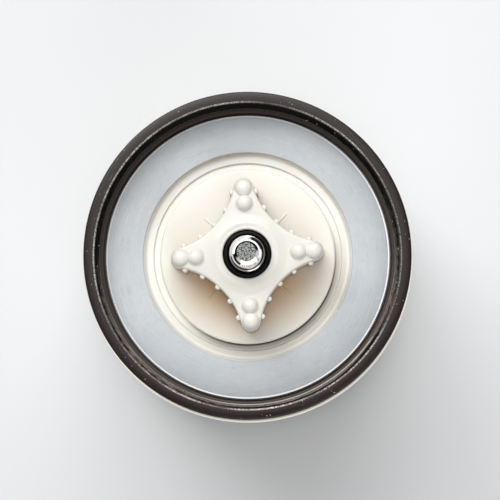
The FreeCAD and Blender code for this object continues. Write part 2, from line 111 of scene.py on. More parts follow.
# one operator on the whole mesh, or on the vertices that pass the test
def edit(obj, operator, test=None, **settings):
    startEditing(obj)
    if test:
        pick(obj, test)
    operator(**settings)
    stopEditing()


def applyPlace(obj):
    activate(obj)
    bpy.ops.object.transform_apply(location=True, rotation=True, scale=True)


def addModifier(obj, kind, **settings):
    activate(obj)
    modifier = obj.modifiers.new(kind.lower(), kind)
    for key, value in settings.items():
        setattr(modifier, key, value)
    bpy.ops.object.modifier_apply(modifier=modifier.name)


# merge doubles, turn the faces outwards, smooth what is not an edge
def cleanUp(obj, smoothAngle=32):
    startEditing(obj)
    bpy.ops.mesh.remove_doubles(threshold=doublesWithin)
    bpy.ops.mesh.dissolve_degenerate(threshold=doublesWithin / 2)
    bpy.ops.mesh.select_all(action="SELECT")
    bpy.ops.mesh.normals_make_consistent(inside=False)
    stopEditing()
    activate(obj)
    bpy.ops.object.shade_smooth_by_angle(angle=math.radians(smoothAngle))


def combine(obj, others, operation="UNION"):
    for other in others:
        addModifier(obj, "BOOLEAN", operation=operation, object=other, solver="EXACT")
        bpy.data.objects.remove(other)


# copies round the axis, each with its own mesh
def copiesAround(obj, count, first=0.0):
    copies = []
    for step in range(count):
        copy = obj.copy()
        copy.data = obj.data.copy()
        bpy.context.collection.objects.link(copy)
        copy.data.transform(Matrix.Rotation(math.radians(first + 360.0 * step / count), 4, "Z"))
        copies.append(copy)
    bpy.data.objects.remove(obj)
    return copies


# simple pieces, in mm

def addPrimitive(operator, **settings):
    deselectAll()
    operator(**settings)
    applyPlace(bpy.context.object)
    return bpy.context.object


def addRod(vertices, radius, low, high, at=(0, 0), turned=0.0):
    return addPrimitive(bpy.ops.mesh.primitive_cylinder_add, vertices=vertices, radius=radius * mm,
                        depth=(high - low) * mm, location=(at[0] * mm, at[1] * mm, (low + high) / 2 * mm),
                        rotation=(0, 0, math.radians(turned)))


# a bar lies along x
def addBar(vertices, radius, length, middle):
    return addPrimitive(bpy.ops.mesh.primitive_cylinder_add, vertices=vertices, radius=radius * mm,
                        depth=length * mm, location=Vector(middle) * mm, rotation=(0, math.pi / 2, 0))


def addBall(radius, middle):
    return addPrimitive(bpy.ops.mesh.primitive_uv_sphere_add, segments=32, ring_count=16,
                        radius=radius * mm, location=Vector(middle) * mm)


def addBlock(size, middle):
    block = addPrimitive(bpy.ops.mesh.primitive_cube_add, size=1.0)
    moved = Matrix.Translation([part * mm for part in middle])
    block.data.transform(moved @ Matrix.Diagonal([part * mm for part in size] + [1]))
    return block


def bevelWhere(obj, test, offset, segments):
    edit(obj, bpy.ops.mesh.bevel, test, offset=offset * mm, segments=segments, affect="EDGES")


# outlines are (radius, height) in mm; a third number rounds that corner
def roundCorners(outline, steps=5):
    points = []
    for index, corner in enumerate(outline):
        here = Vector(corner[:2])
        if len(corner) == 2:
            points.append(here)
            continue
        before = (Vector(outline[index - 1][:2]) - here).normalized()
        after = (Vector(outline[(index + 1) % len(outline)][:2]) - here).normalized()
        half = before.angle(after) / 2
        centre = here + (before + after).normalized() * corner[2] / math.sin(half)
        start = here + before * corner[2] / math.tan(half) - centre
        sweep = before.angle_signed(after)
        turn = math.copysign(math.pi - 2 * half, sweep)
        for step in range(steps + 1):
            points.append(centre + Matrix.Rotation(turn * step / steps, 2) @ start)
    return [(point.x, point.y) for point in points]


# lathe work: a circle is extruded from ring to ring along the outline and bridged to where it began,
# or closed at both ends when the piece is solid
def turnPiece(name, outline, segments=160, steps=5, smoothAngle=32, solid=False):
    rings = roundCorners(outline, steps)
    radius, height = rings[0]
    obj = addPrimitive(bpy.ops.mesh.primitive_circle_add, vertices=segments, radius=radius * mm,
                       location=(0, 0, height * mm))
    obj.name = name
    startEditing(obj)
    for newRadius, newHeight in rings[1:]:
        bpy.ops.mesh.extrude_edges_move(TRANSFORM_OT_translate={"value": (0, 0, (newHeight - height) * mm)})
        grow = (newRadius / radius, newRadius / radius, 1)
        bpy.ops.transform.resize(value=grow, center_override=(0, 0, newHeight * mm))
        radius, height = newRadius, newHeight
    stopEditing()
    verts = obj.data.vertices
    for vert in verts:
        vert.select = vert.index < segments or vert.index >= len(verts) - segments
    bpy.ops.object.mode_set(mode="EDIT")
    bpy.ops.mesh.select_mode(type="EDGE")
    if solid:
        bpy.ops.mesh.edge_face_add()
    else:
        bpy.ops.mesh.bridge_edge_loops()
    stopEditing()
    cleanUp(obj, smoothAngle)
    return obj


# shader nodes: an expression on values becomes Math nodes
class Value:
    def __init__(self, finish, socket):
        self.finish = finish
        self.socket = socket

    def math(self, operation, *others):
        inputs = {0: self}
        for index, other in enumerate(others):
            inputs[index + 1] = other
        return self.finish.node("ShaderNodeMath", {"operation": operation}, inputs)

    def __add__(self, other):
        return self.math("ADD", other)

    def __sub__(self, other):
        return self.math("SUBTRACT", other)

    def __mul__(self, other):
        return self.math("MULTIPLY", other)

    def __truediv__(self, other):
        return self.math("DIVIDE", other)

    __radd__ = __add__
    __rmul__ = __mul__

    def __rsub__(self, other):
        return self * -1.0 + other

    # 0 below the first number, 1 above the second, smooth between
    def between(self, low, high):
        inputs = {"Value": self, "From Min": low, "From Max": high}
        return self.finish.node("ShaderNodeMapRange", {"interpolation_type": "SMOOTHSTEP"}, inputs)

    def below(self, low, high):
        return 1 - self.between(low, high)

    # 1 from the first number to the last, fading inside both
    def band(self, first, last, fade):
        return self.between(first, first + fade) * self.below(last - fade, last)


class Finish:
    def __init__(self, name, shade):
        self.shade = shade
        self.material = bpy.data.materials.new(name)
        self.material.use_nodes = True
        self.tree = self.material.node_tree
        self.shader = self.tree.nodes["Principled BSDF"]

    def node(self, kind, settings, inputs, output=0):
        made = self.tree.nodes.new(kind)
        for key, value in settings.items():
            setattr(made, key, value)
        for key, value in inputs.items():
            self.feed(made.inputs[key], value)
        return Value(self, made.outputs[output])

    def feed(self, socket, value):
        if isinstance(value, Value):
            self.tree.links.new(value.socket, socket)
        else:
            socket.default_value = value

    def set(self, **inputs):
        for key, value in inputs.items():
            self.feed(self.shader.inputs[key.replace("_", " ")], value)

    def coordinates(self):
        return self.node("ShaderNodeTexCoord", {}, {}, "Object")

    def split(self):
        first = self.node("ShaderNodeSeparateXYZ", {}, {"Vector": self.coordinates()})
        return [Value(self, socket) for socket in first.socket.node.outputs]

    # a point's distance from the axis and its height, in mm
    def measure(self):
        x, y, z = self.split()
        return (x * x + y * y).math("SQRT") / mm, z / mm

    # degrees round the axis
    def angle(self):
        x, y = self.split()[:2]
        return y.math("ARCTAN2", x) * math.degrees(1)

    # 0 on the side of the axis that looks away from a direction, 1 on the side towards it
    def facing(self, towards, low, high):
        x, y = self.split()[:2]
        return ((x * towards[0] + y * towards[1]) / (x * x + y * y).math("SQRT")).between(low, high)

    # marks that go round the axis, long when the first number is small and fine when the second is large
    def marks(self, along, across, detail=4.0, roughness=0.7):
        x, y, z = self.split()
        radius = (x * x + y * y).math("SQRT")
        inputs = {"X": x / radius * along, "Y": y / radius * along, "Z": (radius + z) * across}
        return self.noise(1.0, detail, roughness, self.node("ShaderNodeCombineXYZ", {}, inputs))

    def noise(self, scale, detail=3.0, roughness=0.5, vector=None):
        inputs = {"Vector": vector or self.coordinates(), "Scale": scale, "Detail": detail,
                  "Roughness": roughness}
        return self.node("ShaderNodeTexNoise", {}, inputs)

    def cells(self, scale):
        return self.node("ShaderNodeTexVoronoi", {}, {"Vector": self.coordinates(), "Scale": scale})

    def mix(self, factor, first, second):
        return self.node("ShaderNodeMix", {"data_type": "RGBA"}, {0: factor, 6: first, 7: second}, 2)

    # lays one more colour over the base colour
    def tint(self, factor, over):
        self.shade = self.mix(factor, self.shade, over)
        self.set(Base_Color=self.shade)

    # painted light: an emission on a part that is no lamp, as far as the factor says
    def glow(self, factor, light, strength):
        self.set(Emission_Color=self.mix(factor, colour(0, 0, 0), light), Emission_Strength=strength)

    def bump(self, height, depth, strength=1.0, under=None):
        inputs = {"Height": height, "Distance": depth * mm, "Strength": strength}
        if under:
            inputs["Normal"] = under
        return self.node("ShaderNodeBump", {}, inputs)


# colours are given as they look on a screen, 0 to 255
def colour(red, green, blue):
    linear = []
    for part in (red, green, blue):
        share = part / 255
        linear.append(share / 12.92 if share <= 0.04045 else ((share + 0.055) / 1.055) ** 2.4)
    return (*linear, 1.0)


def paint(obj, finish):
    obj.data.materials.clear()
    obj.data.materials.append(finish.material)


# a second finish on the faces whose middle passes the test
def paintFaces(obj, finish, test):
    obj.data.materials.append(finish.material)
    for face in obj.data.polygons:
        if test(face.center / mm):
            face.material_index = len(obj.data.materials) - 1


def finishPiece(obj, finish, body, node):
    paint(obj, finish)
    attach(obj, body)
    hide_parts(node)
    print(obj.name, len(obj.data.polygons), "faces")


print("finishes")

darkLook = {
    "colour": colour(33, 20, 15),
    "wearAndHighlight": colour(150, 136, 124),
    "dust": colour(232, 222, 206),
    "roughness": 0.24,
    "gloss": 0.42,
    "marks": 0.4,  # how strongly scuffs and dust show
}


# near black, glossy, with fine turned scuffs and a few pale grains of dust
def makeDarkPlastic(name, strength=1.0):
    look = darkLook
    finish = Finish(name, look["colour"])
    grain = finish.noise(9000, 2.0, 0.6)
    clouds = finish.noise(120)
    scuffs = finish.marks(9.0, 5200.0, roughness=0.65).between(0.60, 0.74) * clouds.between(0.42, 0.62)
    specks = finish.cells(900).below(0.08, 0.17) * finish.noise(300, 2.0).between(0.52, 0.60)
    finish.tint(scuffs * look["marks"] * strength, look["wearAndHighlight"])
    finish.tint(specks * look["marks"] * strength, look["dust"])
    finish.rough = look["roughness"] + (clouds - 0.5) * 0.14 + scuffs * 0.16
    finish.set(Roughness=finish.rough, Specular_IOR_Level=look["gloss"])
    finish.set(Normal=finish.bump(scuffs, 0.015, 0.6, finish.bump(grain, 0.012, 0.5)))
    return finish


creamLook = {
    "dirt": colour(150, 132, 104),
    "depthOfColours": (1.0, 0.7, 0.45),  # how far red, green and blue light goes in
    "grain": 0.01,  # mm
    "rubbed": 0.008,
}


def makeCreamPlastic(name, base, warm, roughness, glow=0.3, reach=0.9, marks=0.4):
    look = creamLook
    finish = Finish(name, base)
    finish.clouds = finish.noise(70)
    rubbed = finish.marks(7.0, 1800.0, roughness=0.6).between(0.58, 0.72) * finish.clouds.between(0.4, 0.65)
    dirt = finish.cells(420).below(0.02, 0.05) * finish.noise(130, 2.0).between(0.6, 0.66)
    finish.tint(finish.clouds.between(0.35, 0.72) * 0.5, warm)
    finish.tint(dirt * marks, look["dirt"])
    finish.set(Roughness=roughness + (finish.clouds - 0.5) * 0.12 + rubbed * 0.1)
    finish.set(Subsurface_Weight=glow, Subsurface_Radius=look["depthOfColours"], Subsurface_Scale=reach * mm)
    dents = finish.bump(rubbed, look["rubbed"], 0.5)
    finish.set(Normal=finish.bump(finish.noise(5200, 2.0, 0.55), look["grain"], 0.5, dents))
    return finish


clearLook = {
    "colour": colour(236, 238, 240),
    "dust": colour(196, 176, 150),
    "roughness": 0.12,
    "clearness": 0.85,
    "refraction": 1.5,
}


def makeClearPlastic(name):
    look = clearLook
    finish = Finish(name, look["colour"])
    dust = finish.noise(900, 4.0, 0.7).between(0.55, 0.75) * finish.noise(60).between(0.4, 0.7)
    finish.tint(dust * 0.5, look["dust"])
    finish.set(Roughness=look["roughness"] + dust * 0.4)
    finish.set(Transmission_Weight=look["clearness"], IOR=look["refraction"])
    finish.set(Normal=finish.bump(finish.noise(300, 2.0), 0.02, 0.4))
    return finish


steelLook = {
    "colour": colour(196, 196, 194),
    "stainAndShade": colour(146, 142, 136),
    "lines": (1.5, 9000.0),
}


def makeSteel(name, tone=steelLook["colour"], turned=1.0, roughness=0.26):
    finish = Finish(name, tone)
    lines = finish.marks(*steelLook["lines"])
    stains = finish.noise(380).between(0.52, 0.72)
    finish.tint(stains * 0.45, steelLook["stainAndShade"])
    finish.set(Metallic=1.0, Roughness=roughness + (lines - 0.5) * 0.2 * turned + stains * 0.14)
    finish.set(Normal=finish.bump(lines, 0.006, 0.5 * turned))
    return finish


def makeBrass(name):
    finish = Finish(name, colour(214, 178, 102))
    clouds = finish.noise(420)
    finish.tint(clouds.between(0.4, 0.7), colour(168, 128, 70))
    finish.set(Metallic=1.0, Roughness=0.26 + clouds.between(0.4, 0.75) * 0.25)
    finish.set(Normal=finish.bump(finish.marks(2.0, 7000.0, 3.0, 0.6), 0.006, 0.5))
    return finish


# unglazed, with coffee dust in its pores
def makeCeramic(name):
    finish = Finish(name, colour(238, 235, 228))
    dust = finish.noise(1500, 4.0, 0.7).between(0.52, 0.78) * finish.noise(90).between(0.35, 0.7)
    finish.tint(dust * 0.8, colour(132, 98, 66))
    finish.set(Roughness=0.4 + dust * 0.35, Normal=finish.bump(finish.noise(6500, 3.0, 0.6), 0.02, 0.6))
    return finish


def makeRubber(name):
    finish = Finish(name, colour(8, 6, 5))
    clouds = finish.noise(700)
    finish.tint(clouds.between(0.4, 0.7) * 0.5, colour(22, 18, 16))
    finish.set(Roughness=0.34 + clouds.between(0.35, 0.75) * 0.2, Specular_IOR_Level=0.18)
    finish.set(Normal=finish.bump(finish.noise(8000, 2.0), 0.015, 0.5))
    return finish


ceramic = makeCeramic("burr_ceramic_finish")
bushPlastic = makeCreamPlastic("bush_finish", colour(222, 214, 196), colour(206, 196, 176), 0.4)
washerSteel = makeSteel("washer_finish", roughness=0.34)
springSteel = makeSteel("spring_finish", colour(176, 176, 178), 0.3, 0.24)

# nodes whose form is already right keep their mesh and get a finish
keptNodes = {
    "outer_burr": ceramic,
    "inner_burr": ceramic,
    "lid_end_bush": bushPlastic,
    "burr_end_bush": bushPlastic,
    "drive_pin": makeSteel("pin_finish", colour(188, 188, 188), 0.4, 0.3),
    "retaining_clip": springSteel,
    "hopper_funnel": makeClearPlastic("clear_hopper_finish"),
    "hopper_lid": makeDarkPlastic("lid_plastic_finish", 0.6),
    "clip_washer": washerSteel,
    "spring_washer": washerSteel,
    "spring_seat": washerSteel,
    "knob_nut": makeBrass("nut_finish"),
}
for nodeName, finish in keptNodes.items():
    node = frame["nodes"][nodeName]
    paint(node, finish)
    activate(node)
    bpy.ops.object.shade_smooth_by_angle(angle=math.radians(30))
print("kept nodes painted:", len(keptNodes))


shellLook = {
    "wall": 2.2,
    "straightTo": 28.0,  # height where the waist begins
    "waistHeight": 58.0,
    "waistRadius": 37.4,
    "endRadius": 38.4,  # at the collar
    "spigot": 9.0,  # depth of the collar's seat
    "edge": 0.35,
    "bead": 0.2,  # at its top edge, where the collar sits
    "beadHeight": 1.2,
    "beadSlope": 0.4,
    "colours": (colour(253, 249, 236), colour(250, 243, 226)),
    "scuff": colour(206, 194, 170),
    "grime": colour(168, 148, 116),
    "roughness": 0.16,
    "glow": colour(253, 247, 232),
    "glowStrength": 0.3,  # painted light: the top of the wall's end glows, though it is no lamp
    "glowFrom": (38.1, 38.3),
    "glowDepth": (0.35, 0.1),
}


# gloss moulded, faintly scuffed, and grubby where it meets its neighbours; painted light makes the outer top
# of its end glow
def makeShellPlastic(name):
    look = shellLook
    finish = makeCreamPlastic(name, *look["colours"], look["roughness"], 0.15, 0.8, 0.1)
    low, high = place("outer_shell")
    radius, height = finish.measure()
    scuffs = finish.marks(12.0, 2400.0).between(0.58, 0.70) * finish.noise(55).between(0.5, 0.68)
    foot = height.below(low.z + 0.3, low.z + 4)
    neck = height.between(high.z - 2.2, high.z - 1.0)
    grime = (foot + neck * 0.5) * finish.noise(240, 4.0, 0.7).between(0.42, 0.72)
    finish.tint(scuffs * 0.3, look["scuff"])
    finish.tint(grime * 0.3, look["grime"])
    finish.set(Roughness=look["roughness"] + scuffs * 0.2 + grime * 0.2)
    # painted light: an emission on the outer top of the wall's end
    top = height.between(*(high.z - depth for depth in look["glowDepth"])) * radius.between(*look["glowFrom"])
    finish.glow(top, look["glow"], look["glowStrength"])
    peel = finish.bump(finish.noise(420, 2.0), 0.012, 0.4)
    finish.set(Normal=finish.bump(scuffs, 0.01, 0.5, peel))
    return finish


def easeRadius(first, last, low, high, steps, bothEnds=True):
    points = []
    for step in range(1, steps + 1):
        share = step / steps
        eased = share * share * (3 - 2 * share) if bothEnds else share * share
        points.append((first + (last - first) * eased, low + (high - low) * share))
    return points


def makeShell():
    look = shellLook
    low, high = place("outer_shell")
    outside, wall, straightTo = high.x, look["wall"], look["straightTo"]
    waist, waistHeight, end = look["waistRadius"], look["waistHeight"], look["endRadius"]
    bead = end + look["bead"]
    beadFoot = high.z - look["beadHeight"]
    seat = high.z - look["spigot"]
    outline = [(outside, low.z, look["edge"]), (outside, straightTo)]
    outline += easeRadius(outside, waist, straightTo, waistHeight, 14)
    outline += easeRadius(waist, end, waistHeight, beadFoot - look["beadSlope"], 10, False)
    outline += [(bead, beadFoot, 0.2), (bead, high.z, look["edge"])]
    outline += [(end - wall, high.z), (end - wall, seat), (waist - wall, seat), (waist - wall, waistHeight)]
    outline += easeRadius(waist - wall, outside - wall, waistHeight, straightTo, 10)
    outline.append((outside - wall, low.z))
    shell = turnPiece("cream_shell", outline, 192, 3)
    finishPiece(shell, makeShellPlastic("shell_finish"), "housing", "outer_shell")


collarLook = {
    "height": 14.0,  # above the shell
    "threadRoot": 34.9,
    "rimRounding": 0.45,
    "rimChamfer": 0.4,
    "footRounding": 0.2,
    "rounding": 0.15,  # of its inner corners
    "ledgeRadius": 33.25,
    "ledgeThickness": 2.0,
    "ledgeStep": 0.3,
    "ledgeStepDepth": 1.3,
    "ledgeDrop": 0.5,  # under the plate's face
    "groove": 34.6,  # room for the plate's flange
    "flange": 2.5,
    "lip": 33.9,
    "lipHeight": 1.5,
    "lipSlope": 1.0,
    "spigotRadius": 36.1,
    "spigotInner": 34.6,
    "spigotLength": 8.9,
    "spigotRounding": 0.4,
    "ridgeCrest": 33.95,
    "ridgeWidth": 1.5,  # at its foot
    "ridgeCrestWidth": 0.6,
    "ridgePitch": 4.2,
    "ridgeStart": -29.0,  # degrees, next to the rim
    "ridgeTurn": 404.0,  # degrees, clockwise and deeper
    "ridgeTop": 94.4,
    "rampIn": 5.0,  # degrees over which it rises out of the wall
    "rampOut": 10.0,
    # the pale colour below is a painted highlight along the rim's inner edge
    "wearAndHighlight": colour(240, 234, 228),
    "ledge": colour(86, 74, 66),
    "highlightAt": (0.30, 0.44),  # painted highlight, beyond the thread's root
    "highlightDepth": (0.42, 0.28),
    # thread wall: a black base as painted shade, painted light and highlights on its lit side, a painted
    # shadow in its slot
    "thread": colour(5, 3, 2),
    "streak": colour(160, 149, 140),
    "foot": colour(104, 92, 84),
    "flank": colour(134, 123, 114),
    "crest": colour(168, 160, 152),
    "startCrest": colour(216, 208, 198),
    "slot": colour(3, 2, 2),
    "paintedLightTowards": (0.2, -0.98),
    "threadRoughness": 0.42,
    "threadGloss": 0.08,
}


# a ragged painted highlight, pale, along the rim's inner edge, and dusty on its ledge
def makeCollarPlastic(name):
    look = collarLook
    finish = makeDarkPlastic(name)
    radius, height = finish.measure()
    rim = place("jar_collar")[1].z
    ledgeHeight = place("base_plate")[1].z - look["ledgeDrop"]
    ragged = finish.marks(190.0, 900.0, 5.0, 0.8).between(0.40, 0.58)
    patches = finish.marks(3.0, 20.0, 2.0, 0.5).between(0.3, 0.62)
    patches = patches * (1 - finish.facing((1, 0), 0.86, 0.92) * 0.7)
    edge = radius.below(*(look["threadRoot"] + far for far in look["highlightAt"]))
    edge = edge * height.between(*(rim - depth for depth in look["highlightDepth"]))
    edge = edge * ragged * (0.3 + patches * 0.7)
    ledge = height.below(ledgeHeight + 0.02, ledgeHeight + 0.12) * height.between(84.0, 84.5)
    ledge = ledge * radius.below(34.2, 34.5)
    sand = finish.noise(2600, 3.0, 0.7)
    finish.tint(ledge * (0.45 + sand * 0.5), look["ledge"])
    # painted highlight: pale and ragged along the rim's inner edge, weaker on one side
    finish.tint(edge, look["wearAndHighlight"])
    finish.set(Roughness=finish.rough + ledge * 0.25 + edge * 0.2)
    return finish


# the threaded wall is painted black, darker than the rim's plastic, as shade in the recess, and dull; painted
# light makes its streaks, foot and flank paler on the side that faces the light, its crest carries a ragged
# painted highlight, and pale grains of dust lie on it
def makeThreadPlastic(name):
    look = collarLook
    root, crestRadius, firstAngle = look["threadRoot"], look["ridgeCrest"], look["ridgeStart"]
    finish = Finish(name, look["thread"])
    radius, height = finish.measure()
    paintedLitSide = finish.facing(look["paintedLightTowards"], -0.3, 0.6)
    ledgeHeight = place("base_plate")[1].z - look["ledgeDrop"]
    ragged = finish.marks(150.0, 900.0, 5.0, 0.8)
    streaks = finish.marks(16.0, 3600.0, 5.0).between(0.46, 0.66)
    sand = finish.noise(3200, 3.0, 0.7).between(0.4, 0.6)
    specks = finish.cells(1100).below(0.07, 0.16) * finish.noise(340, 2.0).between(0.50, 0.60)
    foot = height.below(ledgeHeight + 0.5, ledgeHeight + 3.0)
    flank = paintedLitSide * radius.below(root - 0.42, root - 0.3)
    crest = radius.below(crestRadius + 0.03, crestRadius + 0.12) * ragged.between(0.36, 0.64)
    # painted shadow: the first stretch of the thread, next to the rim, stands off the wall by a dark line,
    # and a painted highlight runs along its crest there
    angle = finish.angle()
    start = angle.between(firstAngle - 90, firstAngle - 60) * angle.below(firstAngle - 1.5, firstAngle)
    start = start * height.between(look["ridgeTop"] - 1.2, look["ridgeTop"] - 0.9)
    startCrest = start * radius.below(crestRadius + 0.1, crestRadius + 0.18)
    mouth = angle.between(firstAngle - 28, firstAngle - 6)
    slot = start * (radius - (root - 0.36 - mouth * 0.32)).between(0.05, 0.12)
    # painted light: streaks, foot, flank and crest are paler on the side that faces the light; the crest's
    # ragged pale line is a painted highlight
    finish.tint(streaks * (0.06 + paintedLitSide * 0.8), look["streak"])
    finish.tint(foot * (0.05 + paintedLitSide * 0.6), look["foot"])
    finish.tint(flank * (0.35 + sand * 0.4), look["flank"])
    finish.tint(crest * (0.3 + paintedLitSide * 0.6), look["crest"])
    finish.tint(specks * 0.8, darkLook["dust"])
    # painted shadow in the slot, then a painted highlight on the crest of the thread's first stretch
    finish.tint(slot, look["slot"])
    finish.tint(startCrest * (0.5 + ragged * 0.6), look["startCrest"])
    finish.set(Roughness=look["threadRoughness"] + streaks * 0.2, Specular_IOR_Level=look["threadGloss"])
    grain = finish.bump(finish.noise(7000, 2.0), 0.012, 0.5)
    finish.set(Normal=finish.bump(streaks, 0.02, 0.6, grain))
    return finish


# the jar's thread: a trapezoid carried round by the Screw modifier, its ends sunk into the wall
def makeJarThread():
    look = collarLook
    root = look["threadRoot"] + 0.4
    foot = look["ridgeWidth"] / 2
    crest = look["ridgeCrestWidth"] / 2
    start = math.radians(look["ridgeStart"])
    thread = addPrimitive(bpy.ops.mesh.primitive_plane_add, size=1.0)
    corners = [(root, -foot), (root, foot), (look["ridgeCrest"], -crest), (look["ridgeCrest"], crest)]
    for vert, (radius, height) in zip(thread.data.vertices, corners):
        vert.co = Vector((radius * math.cos(start), radius * math.sin(start), height + look["ridgeTop"])) * mm
    edit(thread, bpy.ops.mesh.delete, type="ONLY_FACE")
    degreesPerStep = 2
    stepCount = round(look["ridgeTurn"] / degreesPerStep)
    drop = look["ridgePitch"] * look["ridgeTurn"] / 360
    addModifier(thread, "SCREW", angle=-math.radians(look["ridgeTurn"]), screw_offset=-drop * mm,
                iterations=1, steps=stepCount, render_steps=stepCount, use_merge_vertices=False)
    rise = look["threadRoot"] - look["ridgeCrest"] + 0.1
    for index, vert in enumerate(thread.data.vertices):
        passed = index // len(corners) * degreesPerStep
        ahead = look["ridgeTurn"] - passed
        share = min(1.0, passed / look["rampIn"], ahead / look["rampOut"])
        radius = math.hypot(vert.co.x, vert.co.y)
        wider = (radius + rise * mm * (1 - share) ** 1.5) / radius
        vert.co.x *= wider
        vert.co.y *= wider
    edit(thread, bpy.ops.mesh.fill_holes, sides=6)
    cleanUp(thread)
    return thread


def makeCollar():
    look = collarLook
    root, rounding, lip = look["threadRoot"], look["rounding"], look["lip"]
    rim = place("jar_collar")[1]
    ledge = place("base_plate")[1].z - look["ledgeDrop"]
    stepEnd = ledge - look["ledgeStepDepth"]
    flangeTop = ledge - look["ledgeThickness"]
    grooveEnd = flangeTop - look["flange"]
    lipEnd = grooveEnd - look["lipHeight"]
    shellEnd = rim.z - look["height"]
    spigotEnd = shellEnd - look["spigotLength"]
    inner, step = look["ledgeRadius"], look["ledgeRadius"] + look["ledgeStep"]
    collar = turnPiece("jar_collar_ring", [
        (rim.x, shellEnd, look["footRounding"]), (rim.x, rim.z, look["rimRounding"]),
        (root + look["rimChamfer"], rim.z, rounding), (root, rim.z - look["rimChamfer"], rounding),
        (root, ledge, rounding), (step, ledge, rounding), (step, stepEnd), (inner, stepEnd),
        (inner, flangeTop), (look["groove"], flangeTop), (look["groove"], grooveEnd), (lip, grooveEnd),
        (lip, lipEnd), (look["spigotInner"], lipEnd - look["lipSlope"]), (look["spigotInner"], spigotEnd),
        (look["spigotRadius"], spigotEnd, look["spigotRounding"]), (look["spigotRadius"], shellEnd),
    ], 224, 4)
    combine(collar, [makeJarThread()])
    cleanUp(collar)
    finishPiece(collar, makeCollarPlastic("collar_finish"), "housing", "jar_collar")
    threadEnd = rim.z - look["rimChamfer"]
    paintFaces(collar, makeThreadPlastic("thread_finish"), lambda at: (
        math.hypot(at.x, at.y) < root + 0.02 and ledge + 0.1 < at.z < threadEnd))


plateLook = {
    "wellRadius": 24.25,  # round the retainer
    "socketRadius": 23.05,  # round the outer burr
    "socketOutside": 26.5,
    "throatRadius": 17.0,
    "gap": 0.35,  # open line between the plate and the collar's ledge
    "thickness": 2.5,
    "flangeInside": 30.5,
    "flangeHeight": 2.4,
    "lugSlot": (2.6, 5.1),  # for the outer burr's lugs: across and wide
    "lugs": 3,
    "colour": colour(199, 204, 208),
    "milk": colour(211, 215, 218),
    "scratch": colour(244, 246, 248),
    "dull": colour(176, 182, 187),
    # a painted highlight and a painted glow on the outer edge
    "edge": colour(252, 254, 255),
    "edgeHighlightFrom": (32.50, 32.60),
    "edgeHighlightTo": (32.95, 33.1),
    "roughness": 0.34,
    "depthOfColours": (1.0, 1.05, 1.1),
    "reach": 1.4,  # how far light goes in, mm
    "litTowards": (0.6, -0.8),
    "glowStrength": 0.5,
}


# milky plastic with fine scratches that go round; a painted highlight whitens its outer edge, and painted
# light makes that edge glow, most on the side towards the light
def makePlatePlastic(name):
    look = plateLook
    finish = Finish(name, look["colour"])
    radius, height = finish.measure()
    milk = finish.noise(45)
    rings = finish.marks(5.0, 3600.0, 5.0, 0.8)
    strokes = finish.marks(14.0, 700.0, 2.0, 0.5)
    scratches = rings.between(0.53, 0.66) * strokes.between(0.42, 0.60)
    dull = rings.below(0.36, 0.50) * strokes.below(0.40, 0.56)
    face = place("base_plate")[1].z
    edge = radius.between(*look["edgeHighlightFrom"]) * radius.below(*look["edgeHighlightTo"])
    edge = edge * height.between(face - 0.5, face - 0.4)
    finish.tint(milk.between(0.3, 0.7), look["milk"])
    finish.tint(dull * 0.5, look["dull"])
    finish.tint(scratches * 0.45, look["scratch"])
    # painted highlight along the outer edge, and painted light glowing there
    finish.tint(edge * 0.9, look["edge"])
    lit = edge * (0.3 + finish.facing(look["litTowards"], -0.5, 0.5) * 0.7)
    finish.glow(lit, look["edge"], look["glowStrength"])
    finish.set(Subsurface_Weight=0.3, Subsurface_Radius=look["depthOfColours"])
    finish.set(Subsurface_Scale=look["reach"] * mm, Normal=finish.bump(rings, 0.03, 0.6))
    finish.set(Roughness=look["roughness"] + (milk - 0.5) * 0.1 + scratches * 0.2)
    return finish


def makeBasePlate():
    look = plateLook
    low, high = place("base_plate")
    burrLow, burrHigh = place("outer_burr")
    well, socket = look["wellRadius"], look["socketRadius"]
    ledge = collarLook["ledgeRadius"] - look["gap"]
    flangeTop = high.z - look["thickness"]
    flangeLow = flangeTop - look["flangeHeight"]
    throat, skirt, flange = look["throatRadius"], look["socketOutside"], look["flangeInside"]
    plate = turnPiece("milky_base_plate", [
        (ledge, high.z, 0.35), (well, high.z, 0.3), (well, burrHigh.z), (socket, burrHigh.z),
        (socket, burrLow.z), (throat, burrLow.z), (throat, low.z), (skirt, low.z, 0.6),
        (skirt, flangeTop, 0.8), (flange, flangeTop, 0.4), (flange, flangeLow, 0.3),
        (high.x, flangeLow, 0.3), (high.x, flangeTop, 0.2), (ledge, flangeTop),
    ], 192, 4)
    slotHeight = burrHigh.z - burrLow.z + 0.1
    slot = addBlock((*look["lugSlot"], slotHeight), (socket, 0, burrLow.z + slotHeight / 2))
    combine(plate, copiesAround(slot, look["lugs"], 90), "DIFFERENCE")
    cleanUp(plate)
    finishPiece(plate, makePlatePlastic("milky_plate_finish"), "housing", "base_plate")


retainerLook = {
    "innerRadius": 19.8,
    "stepRadius": 21.9,
    "step": 0.6,
    "cove": 1.0,  # how far its outer edge curves up the well
    "coveEdge": 0.15,
    "coveRadius": 0.6,
    "colours": (colour(247, 245, 239), colour(244, 240, 230)),
    "roughness": 0.3,
    # painted shade on the land, crease, ring and cove; glow is painted light
    "paintedShade": colour(150, 138, 108),
    "crease": colour(52, 44, 32),
    "ring": colour(188, 178, 156),
    "coveShade": colour(186, 164, 136),
    "shadeTowards": (0.5, -0.87),
    "glow": colour(250, 244, 228),
    "glowStrength": 0.22,
}


